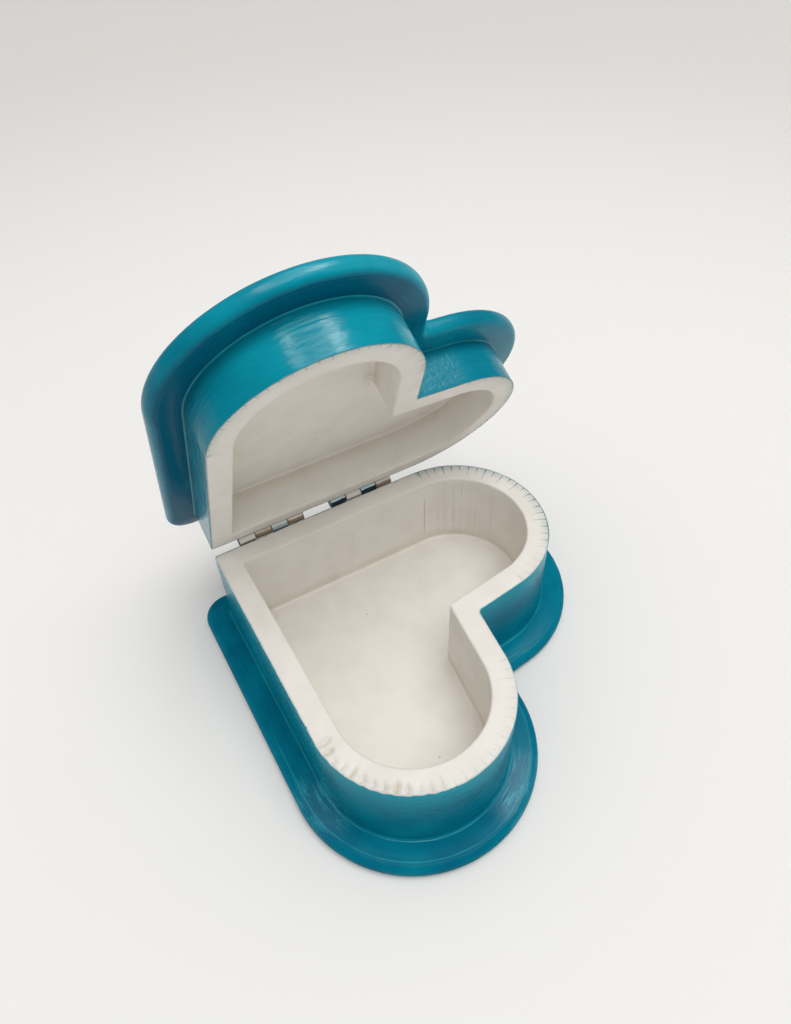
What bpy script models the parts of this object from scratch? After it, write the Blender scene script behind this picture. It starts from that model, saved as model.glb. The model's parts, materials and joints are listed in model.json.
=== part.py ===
"""A heart-shaped keepsake box of painted board, with its lid standing open on two small hinges.

Each half is a heart-shaped plate with a rounded edge and a bent wall glued to it.
Sizes are in metres, +Z is up, and the box stands on z = 0 with its hinges at the back (+Y).
The heart is drawn from its point: "along" runs down the hinge side and "across" runs down
the other straight side, square to it, so the two halves of the outline mirror each other.
"""

import math

import bmesh
import bpy
from mathutils import Vector

MM = 0.001

# Plan of the heart, measured on the outer face of the walls
SIDE = 80 * MM  # from the point to where a lobe begins
LOBE_RADIUS = 32 * MM
NOTCH_FROM_SIDES = 66 * MM  # how far the notch lies from each straight side
WALL = 7.8 * MM
OVERHANG = 9.3 * MM  # how far a plate reaches past its wall, all the way round

# Heights
PLATE = 6 * MM
PLATE_EDGE_RADIUS = 2.6 * MM
BASE_DEPTH = 31.7 * MM  # from the base's floor up to its rim
LID_DEPTH = 14 * MM
CLOSED_GAP = 0.5 * MM  # between the two rims when the box is shut
TOUCH_GAP = 0.3 * MM  # left between pieces that touch

# Corners of the outline
WALL_POINT_RADIUS = 1.2 * MM
WALL_NOTCH_RADIUS = 0.8 * MM
HOLLOW_CORNER_RADIUS = 0.5 * MM
PLATE_NOTCH_RADIUS = 3 * MM

# A pair of one-inch butt hinges on the outside of the back walls
HINGE_LENGTH = 25 * MM
HINGE_CENTRES = (22.3 * MM, 58.3 * MM)  # along the hinge side, from the point
LEAF_HEIGHT = 9.5 * MM  # from the pin's axis to a leaf's free edge
LEAF_THICKNESS = 0.8 * MM
LEAF_CORNER_RADIUS = 1.2 * MM
BARREL_RADIUS = 1.65 * MM
PIN_RADIUS = 0.55 * MM
PIN_CHAMFER = 0.15 * MM
KNUCKLES = 4  # slots along a hinge, taken by the two leaves in turn
BASE_SLOTS = (0, 2)
LID_SLOTS = (1, 3)

# The pose: the lid is turned back this far from shut
LID_OPEN = math.radians(63.2)

# How finely round stretches are divided
LOBE_STEPS = 40
CORNER_STEPS = 6
EDGE_STEPS = 4
CURL_STEPS = 16
PIN_STEPS = 16

SMOOTH_BELOW = math.radians(35)  # faces that meet at a smaller angle are shaded as one surface

# Finishes: colour, roughness and metallic value
TEAL_PAINT = ((0.003, 0.13, 0.19, 1), 0.3, 0)
CREAM_PAINT = ((0.66, 0.60, 0.53, 1), 0.5, 0)
BRASS = ((0.55, 0.40, 0.19, 1), 0.35, 1)
STEEL = ((0.45, 0.45, 0.44, 1), 0.3, 1)

# Places worked out from the sizes above
HALF_SPAN = (SIDE + LOBE_RADIUS) / 2
BASE_RIM_Z = PLATE + BASE_DEPTH
PIN_Y = HALF_SPAN + TOUCH_GAP + BARREL_RADIUS
PIN_Z = BASE_RIM_Z + CLOSED_GAP / 2
LID_RIM_Z = BASE_RIM_Z + CLOSED_GAP
LID_TOP_Z = LID_RIM_Z + LID_DEPTH + PLATE


def arc(centre, radius, start, end, steps):
    """Points on an arc from the angle start to the angle end, both ends included."""
    angles = [start + (end - start) * i / steps for i in range(steps + 1)]
    return [(centre[0] + radius * math.cos(a), centre[1] + radius * math.sin(a)) for a in angles]


def inner_straight_angle():
    """The outward direction of the straight that runs from a lobe to the notch.

    That straight is the tangent from the notch to the lobe's circle, so its direction comes
    from the right-angled triangle of the circle's centre, the notch and the tangent point.
    """
    to_notch = (NOTCH_FROM_SIDES - SIDE, NOTCH_FROM_SIDES - LOBE_RADIUS)
    distance = math.hypot(*to_notch)
    return math.atan2(to_notch[1], to_notch[0]) - math.acos(LOBE_RADIUS / distance)


def heart_outline(grow, point_radius, notch_radius):
    """The heart's outline, grown outwards by grow, as (along, across) points.

    It starts on the diagonal at the point, follows the hinge side and its lobe to the notch,
    and comes back by the same shape mirrored in the diagonal.
    """
    corner = point_radius - grow
    diagonal = math.pi / 4
    point = arc((corner, corner), point_radius, diagonal - math.pi, -math.pi / 2, CORNER_STEPS)

    outward = inner_straight_angle()
    lobe = arc((SIDE, LOBE_RADIUS), LOBE_RADIUS + grow, -math.pi / 2, outward, LOBE_STEPS)

    # The notch's fillet is centred outside the heart and touches both inner straights.
    reach = math.cos(outward) + math.sin(outward)
    notch = NOTCH_FROM_SIDES + (grow + notch_radius) / reach
    fillet = arc(
        (notch, notch), notch_radius, outward + math.pi, diagonal + math.pi, CORNER_STEPS
    )

    half = point + lobe + fillet
    mirrored = [(across, along) for along, across in reversed(half)]
    # The two points on the diagonal belong to both halves.
    return half + mirrored[1:-1]


def placed(outline, z):
    """An outline of the heart at the height z, with the box's middle over the origin."""
    return [Vector((along - HALF_SPAN, HALF_SPAN - across, z)) for along, across in outline]


def add_ring(bm, points):
    return [bm.verts.new(point) for point in points]


def add_band(bm, first, second, material=0):
    """Quads between two rings with the same number of vertices."""
    for i in range(len(first)):
        j = (i + 1) % len(first)
        face = bm.faces.new((first[i], first[j], second[j], second[i]))
        face.material_index = material


def make_material(name, finish):
    colour, roughness, metallic = finish
    material = bpy.data.materials.new(name)
    material.use_nodes = True
    shader = material.node_tree.nodes["Principled BSDF"]
    shader.inputs["Base Color"].default_value = colour
    shader.inputs["Roughness"].default_value = roughness
    shader.inputs["Metallic"].default_value = metallic
    material.diffuse_color = colour
    return material


def two_paints(name):
    """Glossy teal for the outside of a piece and a satin cream for the inside."""
    teal = make_material(name + "_teal", TEAL_PAINT)
    cream = make_material(name + "_cream", CREAM_PAINT)
    return teal, cream


def make_object(name, bm, materials, parent, location):
    """Turn a bmesh into an object whose curved faces are shaded smooth."""
    bmesh.ops.recalc_face_normals(bm, faces=bm.faces)
    mesh = bpy.data.meshes.new(name)
    bm.to_mesh(mesh)
    bm.free()
    for material in materials:
        mesh.materials.append(material)
    mesh.shade_smooth()
    mesh.set_sharp_from_angle(angle=SMOOTH_BELOW)
    obj = bpy.data.objects.new(name, mesh)
    obj.parent = parent
    obj.location = location
    bpy.context.scene.collection.objects.link(obj)
    return obj


def plate_profile():
    """The plate's edge as (grow, height above its outer face), rounded over on both sides."""
    radius = PLATE_EDGE_RADIUS
    inset = OVERHANG - radius
    outer_corner = arc((inset, radius), radius, -math.pi / 2, 0, EDGE_STEPS)
    inner_corner = arc((inset, PLATE - radius), radius, 0, math.pi / 2, EDGE_STEPS)
    return outer_corner + inner_corner


def make_plate(name, outer_z, to_wall, parent, location):
    """A heart-shaped board.

    outer_z is the height of its outer face. to_wall is +1 if the wall stands on the board
    and -1 if the wall hangs below it.
    """
    bm = bmesh.new()
    rings = []
    for grow, height in plate_profile():
        outline = heart_outline(grow, grow, PLATE_NOTCH_RADIUS + OVERHANG - grow)
        rings.append(add_ring(bm, placed(outline, outer_z + to_wall * height)))
    bm.faces.new(rings[0])
    for first, second in zip(rings, rings[1:]):
        add_band(bm, first, second)

    # The cream floor of the hollow ends under the middle of the wall.
    outline = heart_outline(-WALL / 2, HOLLOW_CORNER_RADIUS, HOLLOW_CORNER_RADIUS)
    floor = add_ring(bm, placed(outline, outer_z + to_wall * PLATE))
    add_band(bm, rings[-1], floor)
    bm.faces.new(floor).material_index = 1
    return make_object(name, bm, two_paints(name), parent, location)


def make_wall(name, foot_z, rim_z, parent, location):
    """A bent wall of one thickness that follows the heart, painted teal only outside."""
    outer = heart_outline(0, WALL_POINT_RADIUS, WALL_NOTCH_RADIUS)
    inner = heart_outline(-WALL, HOLLOW_CORNER_RADIUS, HOLLOW_CORNER_RADIUS)
    bm = bmesh.new()
    outer_foot = add_ring(bm, placed(outer, foot_z))
    outer_rim = add_ring(bm, placed(outer, rim_z))
    inner_rim = add_ring(bm, placed(inner, rim_z))
    inner_foot = add_ring(bm, placed(inner, foot_z))
    add_band(bm, outer_foot, outer_rim)
    add_band(bm, outer_rim, inner_rim, 1)
    add_band(bm, inner_rim, inner_foot, 1)
    add_band(bm, inner_foot, outer_foot, 1)
    return make_object(name, bm, two_paints(name), parent, location)


def slot_ends(slot):
    """Where a knuckle starts and ends along the pin, clear of the other leaf's knuckles."""
    width = HINGE_LENGTH / KNUCKLES
    start = -HINGE_LENGTH / 2 + slot * width
    end = start + width
    if slot > 0:
        start += TOUCH_GAP / 2
    if slot < KNUCKLES - 1:
        end -= TOUCH_GAP / 2
    return start, end


def knuckle_path():
    """Pairs of (y, z) points, outer and inner, down the sheet of a leaf and round its pin.

    The curl stops before it touches the sheet that it grows from.
    """
    outer_radius = BARREL_RADIUS
    inner_radius = BARREL_RADIUS - LEAF_THICKNESS
    clear_of_sheet = math.acos((TOUCH_GAP - inner_radius) / outer_radius)
    end = 2 * math.pi + clear_of_sheet
    outer = arc((0, 0), outer_radius, math.pi, end, CURL_STEPS)
    inner = arc((0, 0), inner_radius, math.pi, end, CURL_STEPS)
    return list(zip(outer, inner))


def make_leaf(name, side, slots, parent, location):
    """A hinge leaf: a flat sheet whose knuckles are rolled round the pin.

    The pin's axis is the local X axis and the wood lies towards -Y. side is +1 for the leaf
    on the lid, which goes up from the pin when the box is shut, and -1 for the base's leaf.
    """
    half = HINGE_LENGTH / 2
    corner_x = half - LEAF_CORNER_RADIUS
    corner_z = LEAF_HEIGHT - LEAF_CORNER_RADIUS
    root_z = BARREL_RADIUS + TOUCH_GAP
    root_x = sorted({-half, half}.union(*(slot_ends(slot) for slot in slots)))
    outline = [(x, root_z) for x in root_x]
    for centre_x, start in ((corner_x, 0), (-corner_x, math.pi / 2)):
        outline += arc(
            (centre_x, corner_z), LEAF_CORNER_RADIUS, start, start + math.pi / 2, CORNER_STEPS
        )

    wood_side_y = -BARREL_RADIUS
    bm = bmesh.new()
    back = add_ring(bm, [Vector((x, wood_side_y, side * z)) for x, z in outline])
    front_y = wood_side_y + LEAF_THICKNESS
    front = add_ring(bm, [Vector((x, front_y, side * z)) for x, z in outline])
    bm.faces.new(back)
    bm.faces.new(front)

    knuckle_starts = [slot_ends(slot)[0] for slot in slots]
    for i in range(len(outline)):
        j = (i + 1) % len(outline)
        ring = [back[i], front[i], front[j], back[j]]
        if i >= len(root_x) - 1 or outline[i][0] not in knuckle_starts:
            bm.faces.new(ring)
            continue
        for (outer_y, outer_z), (inner_y, inner_z) in knuckle_path():
            step = [
                Vector((outline[i][0], outer_y, side * outer_z)),
                Vector((outline[i][0], inner_y, side * inner_z)),
                Vector((outline[j][0], inner_y, side * inner_z)),
                Vector((outline[j][0], outer_y, side * outer_z)),
            ]
            next_ring = add_ring(bm, step)
            add_band(bm, ring, next_ring)
            ring = next_ring
        bm.faces.new(ring)
    return make_object(name, bm, (make_material(name, BRASS),), parent, location)


def make_pin(name, parent, location):
    """A plain wire pin with its ends chamfered, flush with the barrel."""
    half = HINGE_LENGTH / 2
    stations = (
        (-half, PIN_RADIUS - PIN_CHAMFER),
        (-half + PIN_CHAMFER, PIN_RADIUS),
        (half - PIN_CHAMFER, PIN_RADIUS),
        (half, PIN_RADIUS - PIN_CHAMFER),
    )
    bm = bmesh.new()
    rings = []
    for x, radius in stations:
        circle = arc((0, 0), radius, 0, 2 * math.pi, PIN_STEPS)[:-1]
        rings.append(add_ring(bm, [Vector((x, y, z)) for y, z in circle]))
    for first, second in zip(rings, rings[1:]):
        add_band(bm, first, second)
    bm.faces.new(rings[0])
    bm.faces.new(rings[-1])
    return make_object(name, bm, (make_material(name, STEEL),), parent, location)


def main():
    for obj in list(bpy.data.objects):
        bpy.data.objects.remove(obj, do_unlink=True)

    here = Vector((0, 0, 0))
    make_plate("base_plate", 0, 1, None, here)
    make_wall("base_wall", PLATE + TOUCH_GAP, BASE_RIM_Z, None, here)

    # The lid is drawn shut, hung on an empty at the pins' axis, and turned open with it.
    axis = Vector((0, PIN_Y, PIN_Z))
    lid = bpy.data.objects.new("lid_axis", None)
    lid.location = axis
    lid.rotation_euler.x = -LID_OPEN
    bpy.context.scene.collection.objects.link(lid)
    make_plate("lid_plate", LID_TOP_Z, -1, lid, -axis)
    make_wall("lid_wall", LID_RIM_Z + LID_DEPTH - TOUCH_GAP, LID_RIM_Z, lid, -axis)

    for number, centre in enumerate(HINGE_CENTRES, start=1):
        name = f"hinge_{number}"
        offset = Vector((centre - HALF_SPAN, 0, 0))
        make_leaf(name + "_base_leaf", -1, BASE_SLOTS, None, axis + offset)
        make_leaf(name + "_lid_leaf", 1, LID_SLOTS, lid, offset)
        make_pin(name + "_pin", None, axis + offset)


main()
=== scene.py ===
# %% [markdown]
# # A heart-shaped keepsake box
#
# The real box is two halves of painted board. Each half is a heart-shaped plate with a bent wall
# glued on it, and two small butt hinges join the halves along one straight side. The outside is
# gloss teal, put on with a brush. The inside and the rims are a satin off-white.
#
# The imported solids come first, because they fix every place and size. The rest of this lesson
# lays finer skins and real finishes over them, and moves nothing.

# %% Load the solids
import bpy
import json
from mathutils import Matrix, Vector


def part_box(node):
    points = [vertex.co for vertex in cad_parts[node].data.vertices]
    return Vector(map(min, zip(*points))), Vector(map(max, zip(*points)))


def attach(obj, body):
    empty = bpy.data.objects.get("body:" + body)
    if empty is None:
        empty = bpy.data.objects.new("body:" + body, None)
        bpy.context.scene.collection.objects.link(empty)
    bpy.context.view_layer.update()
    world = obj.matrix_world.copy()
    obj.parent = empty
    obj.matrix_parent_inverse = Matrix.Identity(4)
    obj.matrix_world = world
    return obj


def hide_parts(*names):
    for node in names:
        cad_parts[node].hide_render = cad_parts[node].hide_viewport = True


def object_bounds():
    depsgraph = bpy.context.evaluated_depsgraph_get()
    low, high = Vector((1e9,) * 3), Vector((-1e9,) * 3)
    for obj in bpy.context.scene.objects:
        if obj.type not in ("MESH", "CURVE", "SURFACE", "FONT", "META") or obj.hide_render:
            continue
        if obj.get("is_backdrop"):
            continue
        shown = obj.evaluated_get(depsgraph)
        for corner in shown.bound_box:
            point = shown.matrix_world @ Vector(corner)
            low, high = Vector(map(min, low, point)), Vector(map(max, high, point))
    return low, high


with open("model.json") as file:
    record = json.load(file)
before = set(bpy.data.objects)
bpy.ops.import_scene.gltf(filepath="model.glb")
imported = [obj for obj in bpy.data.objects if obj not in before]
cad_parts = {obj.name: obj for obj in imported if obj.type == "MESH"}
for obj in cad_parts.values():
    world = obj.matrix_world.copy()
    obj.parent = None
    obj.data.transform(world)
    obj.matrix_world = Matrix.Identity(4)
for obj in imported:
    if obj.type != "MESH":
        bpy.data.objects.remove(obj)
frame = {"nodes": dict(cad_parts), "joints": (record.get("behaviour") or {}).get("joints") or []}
solid_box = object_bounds()

# %% [markdown]
# ## Sizes
#
# Heights, the hinge line and the lid's angle are read from the solids and the joint, so they can't
# drift from them. The plan of the heart is drawn again from the few sizes that a joiner would mark
# out: the straight side, the lobes' radius and how deep the notch lies.

# %% Sizes in metres
import json
import math

import bmesh
import bpy
from mathutils import Euler, Matrix, Vector, noise

MM = 0.001
SIDE = 80 * MM
LOBE_RADIUS = 32 * MM
NOTCH_FROM_SIDES = 66 * MM
WALL = 7.8 * MM
LID_DEPTH = 14 * MM
EDGE_RADIUS = 2.6 * MM
HALF_SPAN = (SIDE + LOBE_RADIUS) / 2

hinge = frame["joints"][0]
hinge_line = Vector(hinge["pos_m"])
lid_open = math.radians(-hinge["range_deg"][0])
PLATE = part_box("base_plate")[1].z
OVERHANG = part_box("base_plate")[1].y - HALF_SPAN
BASE_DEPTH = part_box("base_wall")[1].z - PLATE
LID_TOP = 2 * hinge_line.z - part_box("base_wall")[1].z + LID_DEPTH + PLATE
print("plate", round(PLATE / MM, 2), "overhang", round(OVERHANG / MM, 2), "mm")
print("the lid stands", round(math.degrees(lid_open), 1), "degrees open")

# %% [markdown]
# ## Two halves from one recipe
#
# The lid is the base turned upside down, only shallower. So each half is modelled the same way,
# standing on its plate at z = 0 with its rim up. One matrix then puts it in its place. The base's
# matrix changes nothing. The lid's flips it over, lifts it to the lid's top and turns it open
# about the hinge line.

# %% Where each half goes
flip = Matrix.Translation((0, 0, LID_TOP)) @ Matrix.Scale(-1, 4, (0, 0, 1))
to_hinge = Matrix.Translation(hinge_line)
turn = to_hinge @ Matrix.Rotation(-lid_open, 4, "X") @ to_hinge.inverted()
PLACES = {"base": Matrix(), "lid": turn @ flip}
DEPTHS = {"base": BASE_DEPTH, "lid": LID_DEPTH}


def settle(obj, half):
    """Put a finished mesh in the place of its half, and let it ride there."""
    place = PLACES[half]
    obj.data.transform(place)
    if place.determinant() < 0:
        obj.data.flip_normals()
    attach(obj, half)


print("lid lifted to", round(LID_TOP / MM, 1), "mm when shut")

# %% [markdown]
# ## The heart as arcs and straights
#
# A heart could be traced by hand, but a joiner's heart has a rule. Two straight sides meet square
# at the point, a round lobe ends each of them, and two short straights run from the lobes to the
# notch. An outline grown or shrunk by any amount keeps that rule, so one function draws the
# wall's faces, the plate's edge and every bead.
#
# The walls were bent by sawing slots across the board, which leaves a row of marks round each
# lobe. The outline has extra points beside each mark, so that the saw marks can be cut later.

# %% Draw the outline
SAW_MARKS = 28  # round each lobe
POINT_STEPS = 20  # into how many short straights each part of the outline is cut
SIDE_STEPS = 50
INNER_STEPS = 20
NOTCH_STEPS = 8
BESIDE_A_MARK = (-0.3, -0.17, -0.1, -0.06, -0.03, 0, 0.03, 0.06, 0.1, 0.17, 0.3, 0.5)
LOBE_FRACTIONS = [0] + [
    (mark + 0.5 + beside) / SAW_MARKS for mark in range(SAW_MARKS) for beside in BESIDE_A_MARK
]


def arc(centre, radius, start, end, steps):
    """Points on an arc from the angle start to the angle end, both ends included."""
    angles = [start + (end - start) * i / steps for i in range(steps + 1)]
    return [(centre[0] + radius * math.cos(a), centre[1] + radius * math.sin(a)) for a in angles]


def between(first, last, steps):
    """Evenly spaced points between two others, without those two."""
    run = Vector(last) - Vector(first)
    return [tuple(Vector(first) + run * i / steps) for i in range(1, steps)]


def lobe_end():
    """The outward direction where a lobe runs straight on to the notch."""
    to_notch = (NOTCH_FROM_SIDES - SIDE, NOTCH_FROM_SIDES - LOBE_RADIUS)
    return math.atan2(to_notch[1], to_notch[0]) - math.acos(LOBE_RADIUS / math.hypot(*to_notch))


def heart(grow, point_radius, notch_radius):
    """The outline grown by grow, as (along, across) points from the heart's point and back."""
    diagonal = math.pi / 4
    corner = point_radius - grow
    outward = lobe_end()
    turn_of_lobe = outward + math.pi / 2
    radius = LOBE_RADIUS + grow
    lobe = []
    for fraction in LOBE_FRACTIONS:
        angle = -math.pi / 2 + turn_of_lobe * fraction
        lobe.append((SIDE + radius * math.cos(angle), LOBE_RADIUS + radius * math.sin(angle)))
    point = arc((corner, corner), point_radius, diagonal - math.pi, -math.pi / 2, POINT_STEPS)
    notch = NOTCH_FROM_SIDES + (grow + notch_radius) / (math.cos(outward) + math.sin(outward))
    fillet = arc((notch, notch), notch_radius, outward + math.pi, diagonal + math.pi, NOTCH_STEPS)
    half = point + between(point[-1], lobe[0], SIDE_STEPS)
    half += lobe + between(lobe[-1], fillet[0], INNER_STEPS) + fillet
    return half + [(across, along) for along, across in reversed(half)][1:-1]


def plan(outline):
    """The outline's points as x and y, with the box's middle at the origin."""
    return [(along - HALF_SPAN, HALF_SPAN - across) for along, across in outline]


def mark_numbers():
    """For each point of the outline, how many saw marks lie before it. It is whole off the lobes."""
    half = [0.0] * (POINT_STEPS + SIDE_STEPS)
    half += [fraction * SAW_MARKS for fraction in LOBE_FRACTIONS]
    half += [float(SAW_MARKS)] * (INNER_STEPS + NOTCH_STEPS)
    return half + [2 * SAW_MARKS - count for count in reversed(half)][1:-1]


print("every outline has", len(mark_numbers()), "points")

# %% [markdown]
# ## Small helpers for node trees
#
# Both the shapes and the finishes below are node trees. Adding nodes by hand takes many lines, so
# one helper adds a node and fills its inputs, each with a plain value or with another node's
# output. The outputs are wrapped in a small class that knows plus, minus and times. So a formula
# is written as a formula here, and each sign in it becomes a Math node.

# %% Add nodes and reckon with their outputs
class Value:
    """An output of a node. Sums and products with it add Math nodes to its tree."""

    def __init__(self, socket):
        self.socket = socket
        self.tree = socket.id_data

    def __add__(self, other):
        return calc("ADD", self, other)

    def __sub__(self, other):
        return calc("SUBTRACT", self, other)

    def __rsub__(self, other):
        return calc("SUBTRACT", other, self)

    def __mul__(self, other):
        return calc("MULTIPLY", self, other)

    def __abs__(self):
        return calc("ABSOLUTE", self)


def add(tree, kind, inputs=(), **settings):
    """Add a node, set its options, then fill its inputs by name or by number."""
    node = tree.nodes.new(kind)
    for name, value in settings.items():
        setattr(node, name, value)
    for key, value in dict(inputs).items():
        if isinstance(value, Value):
            tree.links.new(value.socket, node.inputs[key])
        else:
            node.inputs[key].default_value = value
    return node


def made(kind, inputs, output=0, **settings):
    """Add a node to the tree that its inputs come from, and return one of its outputs."""
    tree = next(value.tree for value in inputs.values() if isinstance(value, Value))
    return Value(add(tree, kind, inputs, **settings).outputs[output])


def calc(operation, first, second=0.0):
    return made("ShaderNodeMath", {0: first, 1: second}, operation=operation)


print("outputs can be added, subtracted and multiplied")

# %% [markdown]
# The steps that come back most get names of their own: a soft step, noise, a vector's parts and
# mixing. Their names say what they do to the paint, so the recipes below stay short.

# %% Name the usual steps
def fade(value, start, end, low=0.0, high=1.0):
    """Low before start and high after end, with a soft step from one to the other."""
    inputs = {0: value, 1: start, 2: end, 3: low, 4: high}
    return made("ShaderNodeMapRange", inputs, interpolation_type="SMOOTHSTEP")


def grain(place, scale, detail=2.0):
    """Cloudy noise from 0 to 1. A higher scale gives a finer grain."""
    return made("ShaderNodeTexNoise", {"Vector": place, "Scale": scale, "Detail": detail})


def patches(place, scale, start, end, low=0.0, high=1.0):
    """Cloudy patches with soft borders, low outside them and high inside."""
    return fade(grain(place, scale, 3), start, end, low, high)


def stretched(place, amounts):
    """The place stretched along each axis, which draws noise out into streaks."""
    return made("ShaderNodeVectorMath", {0: place, 1: amounts}, operation="MULTIPLY")


def distance_to(place, spot):
    return made("ShaderNodeVectorMath", {0: place, 1: spot}, "Value", operation="DISTANCE")


def axes(place):
    """The x, y and z of a place."""
    parts = add(place.tree, "ShaderNodeSeparateXYZ", {0: place})
    return [Value(output) for output in parts.outputs]


def vector(x, y, z):
    return made("ShaderNodeCombineXYZ", {0: x, 1: y, 2: z})


def mix(factor, first, second):
    """Mix two numbers."""
    return made("ShaderNodeMix", {0: factor, 2: first, 3: second})


def blend(factor, first, second):
    """Mix two colours."""
    inputs = {0: factor}
    for number, colour in ((6, first), (7, second)):
        inputs[number] = colour if isinstance(colour, Value) else (*colour, 1)
    return made("ShaderNodeMix", inputs, 2, data_type="RGBA")


def coordinates(tree, kind="Object"):
    return Value(add(tree, "ShaderNodeTexCoord").outputs[kind])


def carried(place, name):
    """A measure that the painted mesh carries under a name."""
    return Value(add(place.tree, "ShaderNodeAttribute", attribute_name=name).outputs["Fac"])


def feed(socket, value):
    """Link an output to an input."""
    value.tree.links.new(value.socket, socket)


print("helpers for", ", ".join(step.__name__ for step in (fade, grain, mix, blend)))

# %% [markdown]
# A shape's tree gets named inputs for its sizes and its paint. It ends by making every copy real
# and painting it. The outcome of a run is a plain mesh, so no modifier is left behind.

# %% Begin, end and run a shape's tree
def new_tree(name, inputs):
    """A Geometry Nodes tree with named inputs, and those inputs as values."""
    tree = bpy.data.node_groups.new(name, "GeometryNodeTree")
    sockets = tree.interface
    sockets.new_socket("Geometry", in_out="OUTPUT", socket_type="NodeSocketGeometry")
    for label, kind in {"Geometry": "Geometry", **inputs}.items():
        sockets.new_socket(label, in_out="INPUT", socket_type="NodeSocket" + kind)
    start = tree.nodes.new("NodeGroupInput")
    return tree, {socket.name: Value(socket) for socket in start.outputs if socket.name}


def end_tree(shape, *coats):
    """Make copies real, give each chosen part its paint, and hand the shape out."""
    shape = made("GeometryNodeRealizeInstances", {0: shape})
    for chosen, paint in coats:
        inputs = {"Geometry": shape, "Selection": chosen, "Material": paint}
        shape = made("GeometryNodeSetMaterial", inputs)
    add(shape.tree, "NodeGroupOutput", {0: shape})


def new_object(name, data):
    """A new object that is in the scene."""
    obj = bpy.data.objects.new(name, data)
    bpy.context.scene.collection.objects.link(obj)
    return obj


def run_tree(obj, tree, values):
    """Run a tree on an object and return the outcome as a new object with a plain mesh."""
    modifier = obj.modifiers.new(tree.name, "NODES")
    modifier.node_group = tree
    for item in tree.interface.items_tree:
        if item.in_out == "INPUT" and item.name in values:
            modifier[item.identifier] = values[item.name]
    graph = bpy.context.evaluated_depsgraph_get()
    mesh = bpy.data.meshes.new_from_object(
        obj.evaluated_get(graph), preserve_all_data_layers=True, depsgraph=graph
    )
    name = obj.name
    bpy.data.objects.remove(obj)
    return new_object(name, mesh)


print("shape trees are ready")

# %% [markdown]
# A few steps come back in most of the shapes: taking in a second object, joining shapes, writing
# a value on a shape and reading it again, and running a profile along an outline.

# %% Name the steps that shapes share
def shape_of(chosen):
    """The shape of an object that was handed in."""
    return made("GeometryNodeObjectInfo", {"Object": chosen}, "Geometry")


def joined(*shapes):
    """Shapes put together, in the order in which they are given."""
    join = add(shapes[0].tree, "GeometryNodeJoinGeometry")
    for shape in shapes:
        feed(join.inputs[0], shape)
    return Value(join.outputs[0])


def stored(shape, name, value, **settings):
    """The shape with a value written on it under a name."""
    inputs = {"Geometry": shape, "Name": name, "Value": value}
    return made("GeometryNodeStoreNamedAttribute", inputs, **settings)


def reading(tree, name, **settings):
    """What was written on a shape under a name."""
    kind = "GeometryNodeInputNamedAttribute"
    return Value(add(tree, kind, {"Name": name}, **settings).outputs[0])


def swept(outline, profile):
    """A profile run along an outline, with the length round the profile written on it."""
    length = Value(add(outline.tree, "GeometryNodeSplineParameter").outputs["Length"])
    measured = stored(profile, "around", length)
    return made("GeometryNodeCurveToMesh", {"Curve": outline, "Profile Curve": measured})


print("steps for", ", ".join(step.__name__ for step in (joined, stored, reading, swept)))

# %% [markdown]
# ## Teal gloss paint
#
# The teal is a household gloss put on by brush. Three things make it look real: the coat is
# thicker in some places than in others, the bristles leave fine ridges along each stroke, and
# where paint has pooled its dried skin is wrinkled. The colour comes from cloudy noise, and the
# ridges and wrinkles go into the height that bumps the surface, so they break up its reflections.
#
# A pattern has to follow the wood, also on the lid, which stands turned. So a half's paint first
# turns the point it paints back to where it lay on the upright half. A stroke runs along the
# wall or the edge it was laid on, so the streaks are noise that is squeezed across the stroke:
# up the wall, or round the edge's profile, which the edge's mesh carries as a measure.

# %% The teal's colours and measures
TEAL_THICK = (0.0006, 0.107, 0.188)
TEAL_THIN = (0.0015, 0.31, 0.41)
TEAL_HIGHLIGHT = (0.05, 0.40, 0.49)
TEAL_IN_SHADE = (0.0003, 0.035, 0.07)
CORNER_SHADE = {"base": 0.0, "lid": 0.5}  # how strong the painted shade is in the corner by the plate
ALONG_STROKE = 130.0
ACROSS_STROKE = 1000.0
WRINKLES = {"base": 1900, "lid": 750}  # how fine they are
WRINKLE_HEIGHTS = {"base": 0.25 * MM, "lid": 0.15 * MM}
CREASE_HIGHLIGHTS = {"base": (0.63, 0.6), "lid": (0.5, 0.2)}  # at which height, and how strong their painted highlight is
BRUSHED_POOLS = {"base": 0.65, "lid": 0.0}  # how far the brush has drawn the wrinkles out
GLOSS_LEVEL = 0.08
GLOSS_ROUGHNESS = 0.13
POOLS = {  # where paint has pooled and wrinkled: the place on the half and how far it reaches
    "base": [((-59 * MM, -28 * MM, PLATE), 15 * MM), ((-2 * MM, -55 * MM, PLATE), 17 * MM)],
    "lid": [((19 * MM, -11 * MM, 15 * MM), 19 * MM)],
}
LIT_SPOT = (-4 * MM, -50 * MM, 10 * MM)  # the middle of a painted patch of light on the lid's front
LIT_SPOT_REACH = (15 * MM, 62 * MM)


def new_material(name, gloss):
    """A material, its shader and the painted point in metres."""
    material = bpy.data.materials.new(name)
    material.use_nodes = True
    shader = material.node_tree.nodes["Principled BSDF"]
    shader.inputs["Specular IOR Level"].default_value = gloss
    return material, shader, coordinates(material.node_tree)


def new_paint(name, half, gloss):
    """A half's material, its shader and the painted point, turned back to the upright half."""
    material, shader, where = new_material(name + "_" + half, gloss)
    turned = Euler((-lid_open, 0, 0)) if half == "lid" else Euler()
    size = (1, 1, PLACES[half].determinant())
    inputs = {0: where, 1: PLACES[half].translation, 2: turned, 3: size}
    return material, shader, made("ShaderNodeMapping", inputs, vector_type="TEXTURE")


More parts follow.
